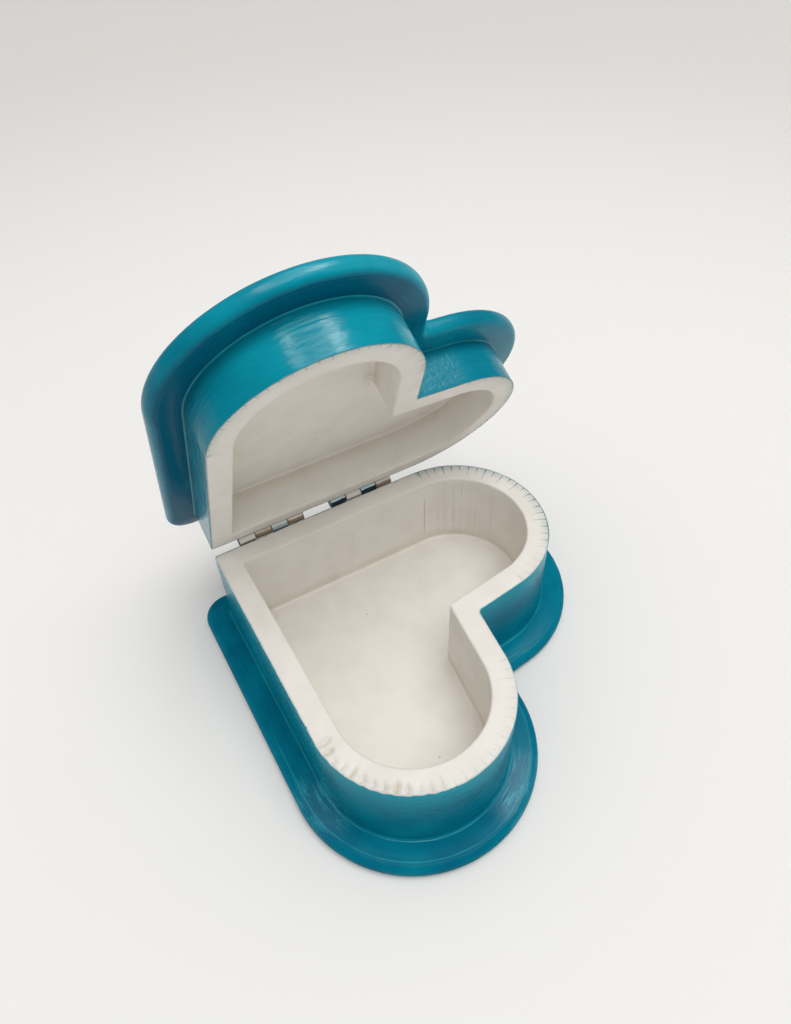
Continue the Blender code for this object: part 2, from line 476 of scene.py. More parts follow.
def pooled(place, half):
    """1 where the paint is wrinkled, 0 elsewhere."""
    mask = 0.0
    for spot, reach in POOLS[half]:
        mask = calc("MAXIMUM", fade(distance_to(place, spot), 0.3 * reach, reach, 1, 0), mask)
    return mask


def toward_lit_spot(place, half, usual, there):
    """The usual value, which changes to another one in a painted patch of light on the lid's front.
    """
    if half == "base":
        return usual
    return fade(distance_to(place, LIT_SPOT), *LIT_SPOT_REACH, there, usual)


def brushed(place, across):
    """The bristles' streaks. Across is measured over the strokes, in metres."""
    x, y, z = axes(place)
    return grain(vector(x * ALONG_STROKE, y * ALONG_STROKE, across * ACROSS_STROKE), 1, 3)


print("a stroke's ridges are", round(1 / ACROSS_STROKE / MM, 1), "mm apart")

# %% [markdown]
# On the base the brush has drawn the wrinkles out into flecks. On the lid they form a net of fine
# creases, which lies where the wrinkles' height crosses its middle. Both are painted pale, as
# highlights of the wrinkled gloss.

# %% Mix the teal
def teal_layer(place, streak, half, thin, ridge):
    """Colour, roughness and height in metres of the gloss.

    Thin is how much the coat is thinned, and it also carries painted light and shade. Past 0.9 it
    mixes in a painted highlight colour. Ridge is how high the bristles' ridges are.
    Each is a number or a value.
    """
    cover = grain(place, 55, 3) + streak * 0.3
    thinness = fade(cover, 0.4, 0.95, -0.15, 0.22) + thin
    colour = blend(thinness, TEAL_THICK, TEAL_THIN)
    # Past 0.9 the thinness turns into a painted highlight colour.
    colour = blend(fade(thinness, 0.9, 1.7), colour, TEAL_HIGHLIGHT)
    wrinkle = mix(BRUSHED_POOLS[half], grain(place, WRINKLES[half], 3), streak)
    pool = pooled(place, half)
    crease_height, pale = CREASE_HIGHLIGHTS[half]
    from_crease = crease_height - wrinkle
    if half == "lid":
        from_crease = abs(from_crease)
    width = 0.03 + 0.17 * BRUSHED_POOLS[half]
    # The creases are painted pale: painted highlights of the wrinkled gloss.
    colour = blend(fade(from_crease, 0.0, width, pale, 0.06) * pool, colour, TEAL_HIGHLIGHT)
    roughness = wrinkle * 0.08 + (pool * 0.12 + GLOSS_ROUGHNESS)
    ridges = streak * ridge * (1.0 - pool * 0.6)
    skin = wrinkle * (pool + 0.04) * WRINKLE_HEIGHTS[half]
    return colour, roughness, ridges + skin


def dress(shader, colour, roughness, height):
    """Join colour, roughness and height to the surface."""
    feed(shader.inputs["Base Color"], colour)
    feed(shader.inputs["Roughness"], roughness)
    bump = {"Strength": 1.0, "Distance": 1.0, "Height": height}
    feed(shader.inputs["Normal"], made("ShaderNodeBump", bump))


print("teal for", sorted(POOLS))

# %% [markdown]
# ## Off-white satin paint
#
# The inside was painted with a thick, chalky off-white. It keeps faint streaks that run down the
# walls, tiny specks, and a tan line where wall and floor meet, because dirt and old glue gather
# there. Up the foot of the walls that tan widens into a band which is partly painted shade of the
# corner. One corner of each half is dirtier. The paint is nearly smooth, so most of the look is in
# the colour.

# %% Mix the off-white
CREAM = (0.82, 0.79, 0.74)
CREAM_SHADE = (0.78, 0.745, 0.685)
TAN = (0.62, 0.52, 0.36)
SPECK = (0.24, 0.15, 0.09)
GRIME = (0.42, 0.35, 0.24)
DOWN_THE_WALL = (700, 700, 25)
SATIN_LEVEL = 0.3
SATIN_ROUGHNESS = 0.42
SATIN_HEIGHT = 0.02 * MM
INNER_POINT = HALF_SPAN - WALL
INNER_NOTCH = NOTCH_FROM_SIDES - HALF_SPAN - WALL / math.sqrt(2)
DIRTY_CORNERS = {  # the corner at the heart's point or at its notch, and how dirty it is
    "base": ((-INNER_POINT, INNER_POINT, PLATE), 0.7),
    "lid": ((INNER_NOTCH, -INNER_NOTCH, PLATE), 0.4),
}


def dirt(place, half):
    """How much dirt has gathered in the half's dirty corner."""
    corner, strength = DIRTY_CORNERS[half]
    near = fade(distance_to(place, corner), 1 * MM, 9 * MM, strength, 0)
    return near * fade(grain(place, 500, 5), 0.35, 0.7)


def specks(place):
    """Tiny round spots. Chance picks the few cells that get one."""
    cells = add(place.tree, "ShaderNodeTexVoronoi", {"Vector": place, "Scale": 160.0}).outputs
    chance = made("ShaderNodeSeparateColor", {0: Value(cells["Color"])})
    spot = fade(Value(cells["Distance"]), 0.03, 0.06, 1, 0)
    return spot * fade(chance, 0.8, 0.82, 0, 0.6)


def cream_layer(place, half):
    """Colour, roughness and height in metres of the satin paint."""
    cloud = grain(place, 110, 6)
    streak = grain(stretched(place, DOWN_THE_WALL), 1, 2)
    colour = blend(fade(cloud, 0.35, 0.75), CREAM, CREAM_SHADE)
    colour = blend(fade(streak, 0.55, 0.8, 0, 0.35), colour, CREAM_SHADE)
    colour = blend(specks(place), colour, SPECK)
    colour = blend(dirt(place, half), colour, GRIME)
    height = grain(place, 900, 3) * SATIN_HEIGHT + streak * SATIN_HEIGHT
    return colour, cloud * 0.15 + SATIN_ROUGHNESS, height


def satin_white(half):
    material, shader, place = new_paint("satin_white", half, SATIN_LEVEL)
    dress(shader, *cream_layer(place, half))
    return material


WHITE = {half: satin_white(half) for half in PLACES}
print("off-white for", sorted(WHITE))

# %% [markdown]
# ## The plates
#
# Each plate is a heart of 6 mm board with a rounded edge. A router leaves a tiny step where its
# cut begins, and that step shows as a thin line of light near the edge.
#
# The edge follows a rule: one profile run along one outline. Geometry Nodes do that with Curve to
# Mesh. The flat faces fill the same outline, and the tree joins all of them into one closed skin.
# The profile and the border of the painted floor are small curves drawn first and handed in.

# %% Draw the plate's edge
CUTTER_STEP = 0.1 * MM
CUTTER_STEPS = 3
UNDER_WALL = 0.3 * MM
ROUND_STEPS = 10
FLOOR_CORNER = 0.5 * MM
PLATE_NOTCH_RADIUS = 3 * MM


def draw_curve(name, points, closed):
    curve = bpy.data.curves.new(name, "CURVE")
    curve.dimensions = "3D"
    spline = curve.splines.new("POLY")
    spline.points.add(len(points) - 1)
    for target, (x, y) in zip(spline.points, points):
        target.co = (x, y, 0, 1)
    spline.use_cyclic_u = closed
    return new_object(name, curve)


def profile_curve(name, points, closed=False):
    """A profile of (outward, up) points. Along these outlines a sweep turns both round."""
    return draw_curve(name, [(-outward, -up) for outward, up in points], closed)


def plate_edge():
    """(outward, up) from the underside round the edge to the upper face, from near the wall."""
    quarter = math.pi / 2
    flat = OVERHANG - UNDER_WALL - EDGE_RADIUS
    top = PLATE - CUTTER_STEP
    low = arc((flat, EDGE_RADIUS), EDGE_RADIUS, -quarter, 0, ROUND_STEPS)
    high = arc((flat, top - EDGE_RADIUS), EDGE_RADIUS, 0, quarter, ROUND_STEPS)
    lip = arc((flat - CUTTER_STEP, top), CUTTER_STEP, 0, quarter, CUTTER_STEPS)
    return [(0, 0)] + low + high[:-1] + lip + [(0, PLATE)]


plate_outline = heart(UNDER_WALL, UNDER_WALL, PLATE_NOTCH_RADIUS + OVERHANG - UNDER_WALL)
print("the edge has", len(plate_edge()), "points on", len(plate_outline), "places")

# %% [markdown]
# Paint flows off a rounded edge, so the coat is thinner there and shows the brush more. The lid's
# edge, which faces up, is paler still as painted light. The flat inside is paler towards the far
# lobe as a painted sheen, and on the lid's near lobe darker as painted shade. Round the near lobe a
# pale line along the cutter's step is a painted highlight, most of all on the base. The sweep
# measures the way round the profile, and the paint reads that measure. The large flat face outside
# has no such measure, so there the brush goes along the hinge side.

# %% Paint for the plates
EDGE_THIN_AND_LIT = {"base": (0.25, 0.25), "lid": (0.4, 1.08)}  # usual, and in the painted patch of light; the lid's are higher as painted light on its upturned edge
FLAT_SHADE_AND_SHEEN = {"base": (0.2, 0.32), "lid": (-0.08, 0.4)}  # on the near lobe, on the far one: the lid's near lobe darker as painted shade, the far lobe paler as painted sheen
TO_FAR_LOBE = (-5 * MM, 35 * MM)  # between these two places along the hinge side
TO_FLAT = (3 * MM, 5.5 * MM)  # where the rounded edge ends, from the middle of the profile
DULL = 0.015  # the gloss of the base plate, which dust has dulled
OUTSIDE_THIN = 0.4
EDGE_RIDGES = 0.15 * MM
FLAT_RIDGES = 0.06 * MM
STEP_HIGHLIGHT = {"base": 0.5, "lid": 0.05}
STEP_WIDTH = 0.35 * MM
LOBE_OFFSET = (SIDE - LOBE_RADIUS) / 2
NEAR_LOBE = (-LOBE_OFFSET, -LOBE_OFFSET, PLATE)  # its middle
STEP_HIGHLIGHT_REACH = (40 * MM, 47 * MM)  # how far from the near lobe's middle the step's painted highlight reaches


def lengths_along(points):
    gone = [0.0]
    for first, second in zip(points, points[1:]):
        gone.append(gone[-1] + math.dist(first, second))
    return gone


profile_lengths = lengths_along(plate_edge())
middle_of_edge = profile_lengths[-1] / 2
step_at = profile_lengths[-2]


def plate_paint(half):
    material, shader, place = new_paint("plate_paint", half, GLOSS_LEVEL)
    around = carried(place, "around")
    x, y, z = axes(place)
    from_edge = abs(around - middle_of_edge)
    # On the lid the upturned edge is paler as painted light, more so in the painted patch of light.
    on_edge = toward_lit_spot(place, half, *EDGE_THIN_AND_LIT[half])
    # On the flat: darker on the lid's near lobe as painted shade, paler towards the far lobe as
    # painted sheen.
    on_flat = fade(z, 0.0, PLATE, OUTSIDE_THIN, fade(x, *TO_FAR_LOBE, *FLAT_SHADE_AND_SHEEN[half]))
    thin = fade(from_edge, 1.5 * MM, 4.4 * MM, on_edge, on_flat)
    ridge = fade(from_edge, *TO_FLAT, EDGE_RIDGES, FLAT_RIDGES)
    outside = fade(from_edge, 5 * MM, middle_of_edge) * fade(z, 0.0, PLATE, 1, 0)
    streak = mix(outside, brushed(place, around), brushed(place, y))
    colour, rough, height = teal_layer(place, streak, half, thin, ridge)
    # A pale line along the cutter's step: painted highlight.
    edge_mask = fade(abs(around - step_at), 0.0, STEP_WIDTH, STEP_HIGHLIGHT[half], 0)
    edge_mask = edge_mask * fade(distance_to(place, NEAR_LOBE), *STEP_HIGHLIGHT_REACH, 1, 0)
    edge_mask = edge_mask * patches(place, 120, 0.3, 0.6, 0.3)
    if half == "base":
        shine = calc("MAXIMUM", pooled(place, half) * GLOSS_LEVEL, DULL)
        feed(shader.inputs["Specular IOR Level"], shine)
    rough = rough + fade(from_edge, *TO_FLAT, 0.07, 0)
    dress(shader, blend(edge_mask, colour, TEAL_HIGHLIGHT), rough, height)
    return material


print("round the profile it is", round(profile_lengths[-1] / MM, 1), "mm")

# %% [markdown]
# The tree's own geometry is an outline just outside the wall's foot, and the profile reaches from
# there over the edge and back below. "Fill Curve" with two outlines leaves the inner one open, so
# what lies under the wall and the off-white floor come from two fills.

# %% Sweep the plates
WELD = 0.001 * MM
plate_tree, given = new_tree(
    "routed_plate",
    {"Edge profile": "Object", "Edge length": "Float", "Floor border": "Object",
     "Thickness": "Float", "Outside paint": "Material", "Inside paint": "Material"},
)


def filled(outline):
    return made("GeometryNodeFillCurve", {0: outline})


outline = given["Geometry"]
border_line = shape_of(given["Floor border"])
edge = swept(outline, shape_of(given["Edge profile"]))
underside = made("GeometryNodeFlipFaces", {0: filled(outline)})
floor = stored(filled(border_line), "inside", True, data_type="BOOLEAN", domain="FACE")
upper = joined(filled(joined(outline, border_line)), floor)
lifted = {"Geometry": upper, "Translation": vector(0, 0, given["Thickness"])}
upper = stored(made("GeometryNodeTransform", lifted), "around", given["Edge length"])
parts = {"Geometry": joined(edge, underside, upper), "Distance": WELD}
inside = reading(plate_tree, "inside", data_type="BOOLEAN")
end_tree(made("GeometryNodeMergeByDistance", parts),
         (True, given["Outside paint"]), (inside, given["Inside paint"]))

edge_profile = profile_curve("edge_profile", plate_edge())
floor_border = draw_curve(
    "floor_border", plan(heart(-WALL / 2, FLOOR_CORNER, FLOOR_CORNER)), True
)


def smooth(mesh, angle=35):
    mesh.shade_smooth()
    mesh.set_sharp_from_angle(angle=math.radians(angle))


for half in PLACES:
    outline = draw_curve("painted_" + half + "_plate", plan(plate_outline), True)
    plate = run_tree(outline, plate_tree, {
        "Edge profile": edge_profile, "Edge length": profile_lengths[-1],
        "Floor border": floor_border, "Thickness": PLATE,
        "Outside paint": plate_paint(half), "Inside paint": WHITE[half],
    })
    smooth(plate.data)
    settle(plate, half)
    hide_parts(half + "_plate")
    print(plate.name, len(plate.data.polygons), "faces")

# %% [markdown]
# ## The walls
#
# Each wall is one bent board, so its section is the same all the way round: up the outer face,
# over a softened edge, across the rim and down inside. The skin is made ring by ring. Every ring
# is the heart's outline at one depth into the board, and its corners change with the depth, as
# they do on the real bend.
#
# The rings also carry three measures for the next steps: how far a point lies past the painted
# edge, how many saw marks lie before it, and whether it is on a lobe.

# %% Build a wall ring by ring
WALL_POINT_RADIUS = (1.2 * MM, 0.5 * MM)  # outer face, inner face
WALL_NOTCH_RADIUS = {"base": (2.0 * MM, 1.4 * MM), "lid": (0.8 * MM, 0.5 * MM)}
OUTER_EDGE = 0.25 * MM
INNER_EDGE = 0.7 * MM
OUTER_ROWS = 10
RIM_ROWS = 14
INNER_ROWS = 8
EDGE_ROWS = 4


def wall_section(depth):
    """(into the board, height) round the section, from the outer foot to the inner foot."""
    half_turn = math.pi
    outer = between((0, 0), (0, depth - OUTER_EDGE), OUTER_ROWS)
    over = arc((OUTER_EDGE, depth - OUTER_EDGE), OUTER_EDGE, half_turn, half_turn / 2, EDGE_ROWS)
    inner_start = WALL - INNER_EDGE
    down = arc((inner_start, depth - INNER_EDGE), INNER_EDGE, half_turn / 2, 0, EDGE_ROWS)
    rim = between(over[-1], down[0], RIM_ROWS)
    inner = between(down[-1], (WALL, 0), INNER_ROWS)
    return [(0, 0)] + outer + over + rim + down + inner + [(WALL, 0)]


def past_edge(section):
    """How far each point of the section lies past the outer edge, measured along the skin."""
    edge = next(i for i, (into, height) in enumerate(section) if into > OUTER_EDGE / 2)
    gone = lengths_along(section)
    return [value - gone[edge] for value in gone]


print("a wall's section has", len(wall_section(BASE_DEPTH)), "points")

# %% [markdown]
# Sanding by hand has rounded the outer edge unevenly, and no rim is quite flat. Both are small
# waves that lower the skin. The hinge side stayed crisp, because the halves had to meet there.

# %% Give the walls their unevenness
EDGE_WAVES = {"base": 0.13 * MM, "lid": 0.02 * MM}
EDGE_REACH = 1.5 * MM
EDGE_WAVINESS = 180
RIM_WAVE = 0.05 * MM
RIM_WAVINESS = 90


def wavy(place, size, scale):
    """A small unevenness of hand work, the same every time."""
    return size * noise.noise(place * scale)


def part_way(ends, share):
    return ends[0] + share * (ends[1] - ends[0])


def ring_of_faces(skin, first, second):
    """Faces between two closed rows of points."""
    for i in range(len(first)):
        j = (i + 1) % len(first)
        skin.faces.new((first[i], first[j], second[j], second[i]))


def mesh_object(name, skin):
    """Turn the faces outwards and make an object of them."""
    bmesh.ops.recalc_face_normals(skin, faces=skin.faces)
    mesh = bpy.data.meshes.new(name)
    skin.to_mesh(mesh)
    skin.free()
    return new_object(name, mesh)


def make_wall_skin(half):
    depth = DEPTHS[half]
    section = wall_section(depth)
    marks = mark_numbers()
    skin = bmesh.new()
    rings = []
    past = []
    for (into, height), measure in zip(section, past_edge(section)):
        share = into / WALL
        radii = part_way(WALL_POINT_RADIUS, share), part_way(WALL_NOTCH_RADIUS[half], share)
        on_edge = max(0, 1 - abs(measure) / EDGE_REACH)
        ring = []
        for (x, y), count in zip(plan(heart(-into, *radii)), marks):
            at = Vector((x, y, depth))
            edge_mask = min(1, count)  # the hinge side lies before the first mark
            wave = EDGE_WAVES[half]
            drop = edge_mask * on_edge * (wave + wavy(at, wave, EDGE_WAVINESS))
            drop += abs(wavy(at, RIM_WAVE, RIM_WAVINESS)) * (height / depth) ** 4
            ring.append(skin.verts.new((x, y, PLATE + height - drop)))
        rings.append(ring)
        past += [measure] * len(ring)
    for first, second in zip(rings, rings[1:] + rings[:1]):
        ring_of_faces(skin, first, second)
    obj = mesh_object("painted_" + half + "_wall", skin)
    on_lobe = [min(1, 4 * min(abs(count - whole) for whole in (0, SAW_MARKS, 2 * SAW_MARKS)))
               for count in marks]
    for label, values in (("past_edge", past), ("marks", marks * len(rings)),
                          ("on_lobe", on_lobe * len(rings))):
        obj.data.attributes.new(label, "FLOAT", "POINT").data.foreach_set("value", values)
    return obj


print("the outer edge is rounded", EDGE_REACH / MM, "mm to each side")

# %% [markdown]
# ## Saw marks in the rims
#
# The slots that let the board bend were filled and painted, but they still show in the rim. Round
# the far lobe they are hairlines. At the front of the near lobe the filler has sunk into wide
# dents. A tree can cut all of them: it finds each point's distance to the nearest mark, and sinks
# the point straight down. White noise, read once for each mark, makes no two alike.

# %% Cut the saw marks
marks_tree, given = new_tree(
    "saw_marks",
    {"Line depth": "Float", "Line width": "Float", "Reach": "Float", "Dent depth": "Float",
     "First dent": "Float", "Last dent": "Float", "Seed": "Float", "Paint": "Material"},
)
LEAST_LINE = 0.25
LEAST_DENT = 0.35
NEAR_LINES = 0.12  # how deep the near lobe's hairlines are, as a share of the far lobe's
DENT_RUN_IN = (-1.2 * MM, 2.0 * MM)  # how far past the edge a dent begins, and is full


def luck(number, seed):
    """A random number from 0 to 1 that is the same all along one mark."""
    key = calc("FLOOR", number) + seed
    return made("ShaderNodeTexWhiteNoise", {"W": key}, "Value", noise_dimensions="1D")


def off_centre(number):
    """How far a number is from halfway between two whole ones, which is where a mark lies."""
    return abs(calc("FRACT", number) - 0.5)


number = reading(marks_tree, "marks")
past = reading(marks_tree, "past_edge")
chance = luck(number, given["Seed"])
other_chance = luck(number, given["Seed"] + 100.0)
line = fade(off_centre(number), 0.0, given["Line width"], 1.0, 0.0) * (chance + LEAST_LINE)
line = line * fade(number, SAW_MARKS - 0.5, SAW_MARKS + 0.5, 1.0, NEAR_LINES)
dent = fade(off_centre(number), 0.0, 0.5, 1.0, 0.0) * (other_chance + LEAST_DENT)
first = given["First dent"]
last = given["Last dent"]
dented = fade(number, first, first + 3.0) * fade(number, last, last + 2.0, 1.0, 0.0)
dent = dent * given["Dent depth"] * dented * fade(past, *DENT_RUN_IN)
reach = given["Reach"] * (chance * 0.6 + 0.4)
inward = fade(past, reach * 0.5, reach, 1, 0) * fade(past, -4 * MM, 0.0)
sunk = (line * given["Line depth"] + dent) * inward * reading(marks_tree, "on_lobe")
moved = {"Geometry": given["Geometry"], "Offset": vector(0, 0, sunk * -1.0)}
end_tree(made("GeometryNodeSetPosition", moved), (True, given["Paint"]))
print("the saw marks' tree has", len(marks_tree.nodes), "nodes")

# %% [markdown]
# ## The walls' paint
#
# A painter cannot stop a brush exactly at an edge, so the border of teal and off-white wanders by
# a fraction of a millimetre. One material holds both paints and mixes them by the distance past
# the edge. Teal has also run into the marks, on the base mostly round the far lobe.

# %% Let the border wander
WANDER = {"base": (0.35 * MM, 1.8 * MM), "lid": (0.25 * MM, 0.4 * MM)}  # far lobe, near lobe
OVER_THE_EDGE = {"base": 0.3 * MM, "lid": 0.0}


def border(half, place, past, number):
    """0 on the teal and 1 on the off-white. On the near lobe the off-white laps over the edge."""
    near = fade(number, 1.2 * SAW_MARKS, 1.5 * SAW_MARKS)
    wander = (grain(place, 350, 2.5) - 0.5) * mix(near, *WANDER[half])
    return fade(past + near * OVER_THE_EDGE[half] + wander, -0.25 * MM, 0.12 * MM)


print("the border wanders by up to", max(WANDER["base"]) / 2 / MM, "mm")

# %% [markdown]
# The marks and the inside show their age. The filler in the dents has gone tan, and dark seams
# run down inside the far lobe of the base. In the marks the teal dried as thin dark ticks with a
# pale wash round them. Chance gives each tick its own length.

# %% Stain the marks
FIRST_DENT = 1.5 * SAW_MARKS
WASH = (0.36, 0.47, 0.47)
HAIRLINE = (0.03, 0.12, 0.14)
TICKS = {"base": (3 * MM, 5 * MM), "lid": (1.0 * MM, 2.0 * MM)}  # shortest, and chance adds
STAINS = {"base": (1.0, 0.22), "lid": (0.7, 0.6)}  # on the far lobe and on the near one
STAINS_FADE = {"base": (19.5, 23.5), "lid": (25.0, 28.0)}  # between these two marks
DOWN_THE_FIBRES = (1300, 1300, 18)
SEAM_AT = 24.5 * MM


def dent_tan(past, number):
    """How tan the filler in the near lobe's dents is."""
    on_rim = fade(past, 0.0, 0.5 * MM) * fade(past, 2.5 * MM, 4.5 * MM, 1, 0)
    dented = fade(number, FIRST_DENT, FIRST_DENT + 3.0) * on_rim
    return fade(off_centre(number), 0.0, 0.35, 0.6, 0.0) * dented * luck(number, 11.0)


def inner_seams(place, past, number):
    """How dark the seams down the far lobe's inner face are, and the one beside it."""
    on_part = fade(number, 0.0, 1.5) * fade(number, 10, 15, 1, 0)
    fibres = grain(stretched(place, DOWN_THE_FIBRES), 1, 2)
    seams = fade(fibres, 0.48, 0.75) * on_part * patches(place, 90, 0.35, 0.65, 0.03, 0.17)
    x, y, z = axes(place)
    one = fade(abs(x - SEAM_AT), 0.05 * MM, 0.3 * MM, 0.5, 0) * fade(y, 0, SIDE / 2)
    one = one * fade(z, 8 * MM, 16 * MM) * fade(z, 26 * MM, 33 * MM, 1, 0)
    return calc("MAXIMUM", seams, one) * fade(past, WALL, WALL + 1.5 * MM)


def mark_stains(half, place, past, number, colour):
    """Teal that ran into the saw marks, tan in the dents and seams down the inside."""
    if half == "base":
        colour = blend(dent_tan(past, number), colour, TAN)
        colour = blend(inner_seams(place, past, number), colour, SPECK)
    amount = fade(number, *STAINS_FADE[half], *STAINS[half])
    strength = carried(place, "on_lobe") * amount
    wash = fade(past, 0.0, 4 * MM, 0.75, 0.0) * patches(place, 300, 0.3, 0.7, 0.35, 0.9)
    colour = blend(wash * strength, colour, WASH)
    shortest, more = TICKS[half]
    reach = luck(number, 7.0) * more + shortest
    width = fade(past, 0.0, 2.5 * MM, 0.12, 0.06)
    ragged = (grain(place, 900, 2) - 0.5) * 0.12
    hairline = fade(off_centre(number) + ragged, 0.01, width, 1, 0)
    hairline = hairline * fade(past, reach * 0.2, reach, 0.85, 0) * strength
    rubbed = past + grain(place, 500, 3) * (0.5 * MM)
    outline = fade(rubbed, 0.3 * MM, 0.75 * MM, 0.85, 0) * amount
    return blend(calc("MAXIMUM", hairline, outline), colour, HAIRLINE)


print("one seam at x =", round(SEAM_AT / MM, 1), "mm")

# %% [markdown]
# The wall's material holds both layers. On the base the teal grows paler towards the rim, most of
# all on side B, as a painted sheen. Each mark's number and the distance past the edge come from the
# skin's attributes.

# %% Paint the walls
WALL_THIN_AND_LIT = {"base": (0.3, 0.3), "lid": (0.55, 0.97)}  # usual, and in the painted patch of light on the lid
RIM_SHEEN = {"base": 0.65, "lid": 0.0}
WALL_RIDGES = 0.26 * MM
LINE_DEPTHS = {"base": 0.2 * MM, "lid": 0.07 * MM}
LINE_WIDTH = 0.09  # as a share of the marks' spacing
LINE_REACH = 5.5 * MM
DENT_DEPTHS = {"base": 1.3 * MM, "lid": 0.02 * MM}
LAST_DENT = 2.0 * SAW_MARKS - 0.5
MARKS_SEED = 3.0


def wall_paint(half):
    material, shader, place = new_paint("wall_paint", half, GLOSS_LEVEL)
    up = axes(place)[2]
    past = carried(place, "past_edge")
    number = carried(place, "marks")
    # Paler towards the rim on the base: painted sheen.
    thin = fade(past, -14 * MM, 0.0, 0.0, RIM_SHEEN[half])
    # Paler in the painted patch of light on the lid's front.
    thin = thin + toward_lit_spot(place, half, *WALL_THIN_AND_LIT[half])
    # Paler still on side B: painted sheen.
    if half == "base":
        thin = thin + fade(number, 2 * SAW_MARKS - 2, 2 * SAW_MARKS, 0, 0.2)
    streak = brushed(place, up)
    teal, teal_rough, teal_height = teal_layer(place, streak, half, thin, WALL_RIDGES)
    # Darker at the foot of the wall, by the plate: painted shade of the corner.
    teal = blend(fade(up, PLATE, PLATE + 5 * MM, CORNER_SHADE[half], 0), teal, TEAL_IN_SHADE)
    cream, cream_rough, cream_height = cream_layer(place, half)
    cream = mark_stains(half, place, past, number, cream)
    # A tan band up the foot of the inner wall: partly a stain, partly painted shade of the corner.
    foot_stain_and_shade = fade(up, PLATE + 0.5 * MM, PLATE + 6 * MM, 0.7, 0.0) * grain(place, 200, 2)
    inside = border(half, place, past, number)
    colour = blend(inside, teal, blend(foot_stain_and_shade, cream, TAN))
    rough = mix(inside, teal_rough, cream_rough)
    dress(shader, colour, rough, mix(inside, teal_height, cream_height))
    return material


for half in PLACES:
    wall = run_tree(make_wall_skin(half), marks_tree, {
        "Line depth": LINE_DEPTHS[half], "Line width": LINE_WIDTH, "Reach": LINE_REACH,
        "Dent depth": DENT_DEPTHS[half], "First dent": FIRST_DENT, "Last dent": LAST_DENT,
        "Seed": MARKS_SEED, "Paint": wall_paint(half),
    })
    smooth(wall.data, 50)
    settle(wall, half)
    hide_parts(half + "_wall")
    print(wall.name, len(wall.data.polygons), "faces")

# %% [markdown]
# ## Glue and paint in the corners
#
# Where a wall meets its plate the joiner wiped a bead of glue into the corner, and paint filled
# it. Outside, its thin raised border catches the light all round. Inside it is a little wider and
# has gone tan. Both are one closed profile swept along an outline, so they share a tree whose
# inputs are the profile, the bead's width and its paint.

# %% Run the beads
bead_tree, given = new_tree(
    "corner_bead", {"Profile": "Object", "Width": "Float", "Paint": "Material"}
)
sized = {"Geometry": shape_of(given["Profile"]), "Scale": given["Width"]}
bead = swept(given["Geometry"], made("GeometryNodeTransform", sized))
end_tree(bead, (True, given["Paint"]))

BEAD_STEPS = 6
BORDER = 0.11  # the raised border, as a share of the bead's width
SAG = 0.12
OUTER_BEADS = {"base": 0.75 * MM, "lid": 0.35 * MM}
INNER_BEAD = 1.0 * MM


def bead_section():
    """(outward, up) of a bead one unit wide: a sagging face that ends in a small round border."""
    face = []
    for i in range(1, BEAD_STEPS):
        share = i / BEAD_STEPS
        sag = SAG * math.sin(math.pi * share)
        face.append((share - sag, 1 - share * (1 - BORDER) - sag))
    border = arc((1, 0), BORDER, math.pi / 2, 0, 3)
    return [(0, -BORDER), (0, 1)] + face + border + [(1 + BORDER, -BORDER)]


print("a bead's section has", len(bead_section()), "points")

# %% [markdown]
# The bead inside runs along the wall's inner face and grows into the hollow, so its profile is
# turned to face the other way. The outer bead's raised border is painted pale as a highlight, so its
# paint reads how far round the profile a point lies, as the plate's does.

# %% Old glue and teal with a painted highlight
BORDER_HIGHLIGHT = {"base": 0.38, "lid": 0.35}
FIRST_OF_FACE = 2  # two points of the section lie before its face


def bead_teal(half):
    material, shader, place = new_paint("bead_teal", half, GLOSS_LEVEL)
    around = carried(place, "around")
    thin = toward_lit_spot(place, half, *WALL_THIN_AND_LIT[half])
    streak = brushed(place, around)
    colour, rough, height = teal_layer(place, streak, half, thin, FLAT_RIDGES)
    # Painted shade of the corner, half as strong as on the wall.
    colour = blend(0.5 * CORNER_SHADE[half], colour, TEAL_IN_SHADE)
    on_border = FIRST_OF_FACE + BEAD_STEPS
    border_at = lengths_along(bead_section())[on_border] * OUTER_BEADS[half]
    # A pale line along the raised border: painted highlight.
    edge_mask = fade(abs(around - border_at), 0.1 * MM, 0.35 * MM, BORDER_HIGHLIGHT[half], 0)
    edge_mask = edge_mask * patches(place, 150, 0.3, 0.6, 0.25)
    dress(shader, blend(edge_mask, colour, TEAL_HIGHLIGHT), rough, height)
    return material


def old_glue(half):
    material, shader, place = new_paint("old_glue", half, SATIN_LEVEL)
    colour, rough, height = cream_layer(place, half)
    on_face = FIRST_OF_FACE + BEAD_STEPS // 2
    face_at = lengths_along(bead_section())[on_face] * INNER_BEAD
    from_face = abs(carried(place, "around") - face_at)
    stain = patches(place, 160, 0.35, 0.7, 0.35, 0.9)
    stain = stain * fade(from_face, 0.1 * INNER_BEAD, 0.8 * INNER_BEAD, 1, 0)
    dress(shader, blend(stain, colour, TAN), rough, height)
    return material


